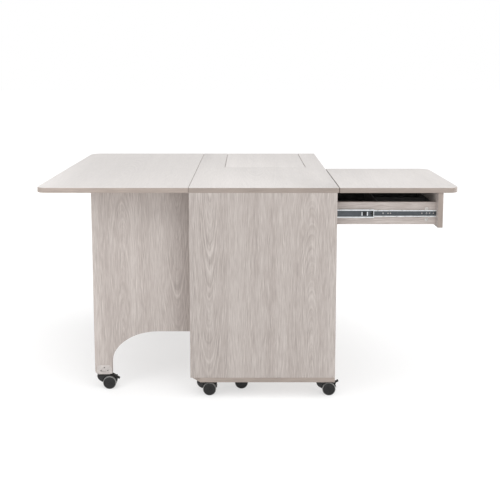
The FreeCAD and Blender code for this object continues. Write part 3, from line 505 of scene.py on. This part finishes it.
def screw_head(mesh, centre, facing, radius, height, recess):
    """A head whose seat is at centre, with a cross recess in its crown."""
    turn = Vector(facing).to_track_quat("Z", "Y")

    def ring(shares, level):
        points = []
        for i in range(HEAD_STEPS):
            angle = math.tau * i / HEAD_STEPS
            reach = radius * shares[i % len(shares)]
            points.append(mesh.verts.new(centre + turn @ Vector((
                reach * math.cos(angle), reach * math.sin(angle), level))))
        return points

    floor = height - radius * recess
    rings = [ring((share,), height * level) for share, level in CROWN]
    rings += [ring(CROSS, height), ring([share * 0.8 for share in CROSS], floor)]
    for lower, upper in zip(rings, rings[1:]):
        bridge(mesh, lower, upper)
    middle = mesh.verts.new(centre + turn @ Vector((0, 0, floor - radius * 0.08)))
    for i in range(HEAD_STEPS):
        mesh.faces.new((rings[-1][i], rings[-1][(i + 1) % HEAD_STEPS], middle))
    mesh.faces.new(list(reversed(rings[0])))


def heads(name, body, spots, radius, height, material, nodes=(), recess=DEEP):
    """One piece with a head at each (place, direction that it faces)."""
    mesh = bmesh.new()
    for place, facing in spots:
        screw_head(mesh, Vector(place), facing, radius, height, recess)
    keep(name, finished(name, mesh, material), body, nodes)


def drawer_heads():
    """Pan heads in the drawer's slide members, and cam locks in the drawer sides."""
    near_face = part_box("drawer_near_side")[0].y
    far_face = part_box("drawer_far_side")[1].y
    web = 1.2 * MM
    low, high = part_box("slide_drawer_rails")
    level = (low.z + high.z) / 2
    spots = [((high.x - setback * MM, y, level), facing)
             for y, facing in ((near_face - web, NEAR), (far_face + web, FAR))
             for setback in (35, 193, 300)]
    heads("drawer_rail_screws", "drawer", spots, 3.3 * MM, 1.7 * MM, plated)

    low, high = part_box("drawer_cams")
    radius = 6.5 * MM
    play = 0.05 * MM
    let_in = 0.9 * MM
    spots = [((high.x - radius, y, z), facing)
             for y, facing in ((near_face + let_in, NEAR), (far_face - let_in, FAR))
             for z in (low.z + radius, high.z - radius)]
    heads("drawer_cam_locks", "drawer", spots, radius - play, 0.8 * MM, cap_grey,
          ["drawer_cams"], CAM_SLOT)


def bracket_heads():
    """Three heads in each gate leg's castor bracket, one above two."""
    radius = 3.6 * MM
    apart = 13 * MM
    for side, facing in (("near", NEAR), ("far", FAR)):
        low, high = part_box(f"{side}_gate_bracket_screws")
        seat = high.y if side == "near" else low.y
        middle = (low.x + high.x) / 2
        spots = [((middle, seat, high.z - radius), facing)]
        spots += [((middle + aside, seat, low.z + radius), facing) for aside in (-apart, apart)]
        heads(f"{side}_bracket_screws", f"{side}_gate", spots, radius, 1.2 * MM,
              dark_steel, [f"{side}_gate_bracket_screws"], SHALLOW)


def hinge_heads():
    """Countersunk heads in the gate hinges' moving leaves, four to a hinge."""
    hinge_height = 60 * MM
    knuckle = 4.3 * MM  # from the outside of the knuckle to the leaf's face
    for side, facing in (("near", FAR), ("far", NEAR)):
        low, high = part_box(f"{side}_gate_hinges")
        face = high.y - knuckle if side == "near" else low.y + knuckle
        spots = [((low.x + column * MM, face, base + row * MM), facing)
                 for column in (8, 18) for base in (low.z, high.z - hinge_height)
                 for row in (14, 46)]
        heads(f"{side}_gate_hinge_screws", f"{side}_gate", spots, 2.9 * MM,
              0.25 * MM, plated, recess=SHALLOW)


def plate_heads():
    """Pan heads at the corners of the castor plates under the base."""
    trail = 20 * MM  # from a castor's swivel axis to its axle
    plate_thickness = 2 * MM
    corner = 19 * MM
    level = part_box("base_board")[0].z - plate_thickness
    spots = []
    for castor in BASE_CASTORS:
        low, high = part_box(f"{castor}_castor_wheels")
        x = (low.x + high.x) / 2 - trail
        y = (low.y + high.y) / 2
        spots += [((x + a, y + b, level), (0, 0, -1))
                  for a in (-corner, corner) for b in (-corner, corner)]
    heads("castor_plate_screws", "root", spots, 3.4 * MM, 1.8 * MM, plated)


def make_heads():
    drawer_heads()
    bracket_heads()
    hinge_heads()
    plate_heads()


# ---------------------------------------------------------------- ends of the slides

def mirrored(half):
    """A closed outline from its lower half."""
    return half + [(x, -z) for x, z in reversed(half)]


# Outlines in millimetres: forwards from the back of the CAD stop, and up from its middle.
HOOK = mirrored([(5.2, -10.7), (-1.6, -10.7), (-1.6, -7.2), (1.2, -6.6), (1.2, -3.4), (-3, -2.6)])
BLOCK = mirrored([(-31, -6), (-21, -6)])
END_TAB = mirrored([(5.4, -12.6), (8, -12.6)])
STRAP = mirrored([(-37.5, -7), (-34, -7)])
STEM = mirrored([(-18, -7), (-14.5, -7)])


def plates(name, material, outlines, thickness, nodes=()):
    """Flat pieces with these outlines and eased edges, in the near and the far slide."""
    low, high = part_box("slide_end_stops")
    middle = (low.z + high.z) / 2
    mesh = bmesh.new()
    for start in (low.y, high.y - thickness):
        for outline in outlines:
            rings = [[mesh.verts.new((low.x + x * MM, y, middle + z * MM)) for x, z in outline]
                     for y in (start, start + thickness)]
            mesh.faces.new(rings[0])
            mesh.faces.new(list(reversed(rings[1])))
            for i in range(len(outline)):
                k = (i + 1) % len(outline)
                mesh.faces.new((rings[0][i], rings[1][i], rings[1][k], rings[0][k]))
    bmesh.ops.recalc_face_normals(mesh, faces=mesh.faces[:])
    outer = [e for e in mesh.edges if abs(e.verts[0].co.y - e.verts[1].co.y) < 0.1 * MM]
    bmesh.ops.bevel(mesh, geom=outer, offset=0.35 * MM, segments=2, affect="EDGES", profile=0.5)
    keep(name, finished(name, mesh, material), "slide_middle", nodes)


def make_slide_ends():
    """Hooked bumpers near the front ends of the middle members, and the tabs pressed in their
    webs."""
    plates("slide_stops", soft_black, (HOOK, BLOCK), 2.6 * MM, ["slide_end_stops"])
    plates("slide_tabs", zinc, (END_TAB, STRAP, STEM), 2.7 * MM)


# ---------------------------------------------------------------- stage

def add_light(name, kind, energy):
    lamp = bpy.data.lights.new(name, kind)
    lamp.energy = energy
    holder = bpy.data.objects.new(name, lamp)
    bpy.context.scene.collection.objects.link(holder)
    return lamp, holder


def area_light(name, place, aim, size, power):
    """A round soft light that looks at a point."""
    lamp, holder = add_light(name, "AREA", power)
    lamp.shape = "DISK"
    lamp.size = size
    holder.location = place
    holder.rotation_euler = (Vector(aim) - Vector(place)).to_track_quat("-Z", "Y").to_euler()


def make_lights():
    """A broad light from above, a small key from the near left, and fills for the other sides."""
    sky, holder = add_light("overhead", "SUN", 2.6)
    sky.angle = math.radians(75)
    holder.rotation_euler = (math.radians(14), math.radians(10), 0)
    area_light("key", (-2.1, -2.0, 1.2), (0, -0.5, 0.4), 1.2, 10)
    area_light("user_fill", (4.2, 1.1, 1.0), (0.3, 0.1, 0.4), 2.4, 46)
    area_light("rear_fill", (-3.3, 4.3, 1.0), (-0.2, 0.2, 0.5), 2.4, 46)


def make_floor():
    """Paper that glows a little, so that it shows nearly white around the shadow."""
    half = 30.0
    mesh = bpy.data.meshes.new("floor")
    mesh.from_pydata([(-half, -half, 0), (half, -half, 0), (half, half, 0), (-half, half, 0)], [],
                     [(0, 1, 2, 3)])
    floor = bpy.data.objects.new("floor", mesh)
    bpy.context.scene.collection.objects.link(floor)
    shader = Shader("floor_paper", 0.9, specular=0.1)
    shader.colour(grey(178))
    shader.surface.inputs["Emission Color"].default_value = (1, 1, 1, 1)
    shader.surface.inputs["Emission Strength"].default_value = 0.56
    mesh.materials.append(shader.material)


def make_world():
    """White all round: it shows as white, and gives less light than that."""
    world = bpy.data.worlds.new("studio")
    bpy.context.scene.world = world
    world.use_nodes = True
    tree = world.node_tree
    background = tree.nodes["Background"]
    background.inputs["Color"].default_value = (1, 1, 1, 1)
    seen = tree.nodes.new("ShaderNodeLightPath").outputs["Is Camera Ray"]
    strength = tree.nodes.new("ShaderNodeMapRange")
    strength.inputs["To Min"].default_value = 0.39
    strength.inputs["To Max"].default_value = 1.0
    tree.links.new(seen, strength.inputs["Value"])
    tree.links.new(strength.outputs[0], background.inputs["Strength"])


def make_camera():
    """In front of the near end and above the top, looking slightly down, as in the photograph."""
    lens = bpy.data.cameras.new("camera")
    lens.lens = 53.58
    lens.sensor_width = 36
    lens.shift_x = 0.006
    lens.shift_y = -0.2
    camera = bpy.data.objects.new("camera", lens)
    bpy.context.scene.collection.objects.link(camera)
    camera.location = (-0.0012, -3.1424, 1.2359)
    camera.rotation_euler = (math.radians(90 - 6.692), 0, 0)
    bpy.context.scene.camera = camera


make_boards()
make_fittings()
make_castors()
make_heads()
make_slide_ends()
make_world()
make_floor()
make_lights()
make_camera()
bpy.context.scene.view_settings.view_transform = "Standard"
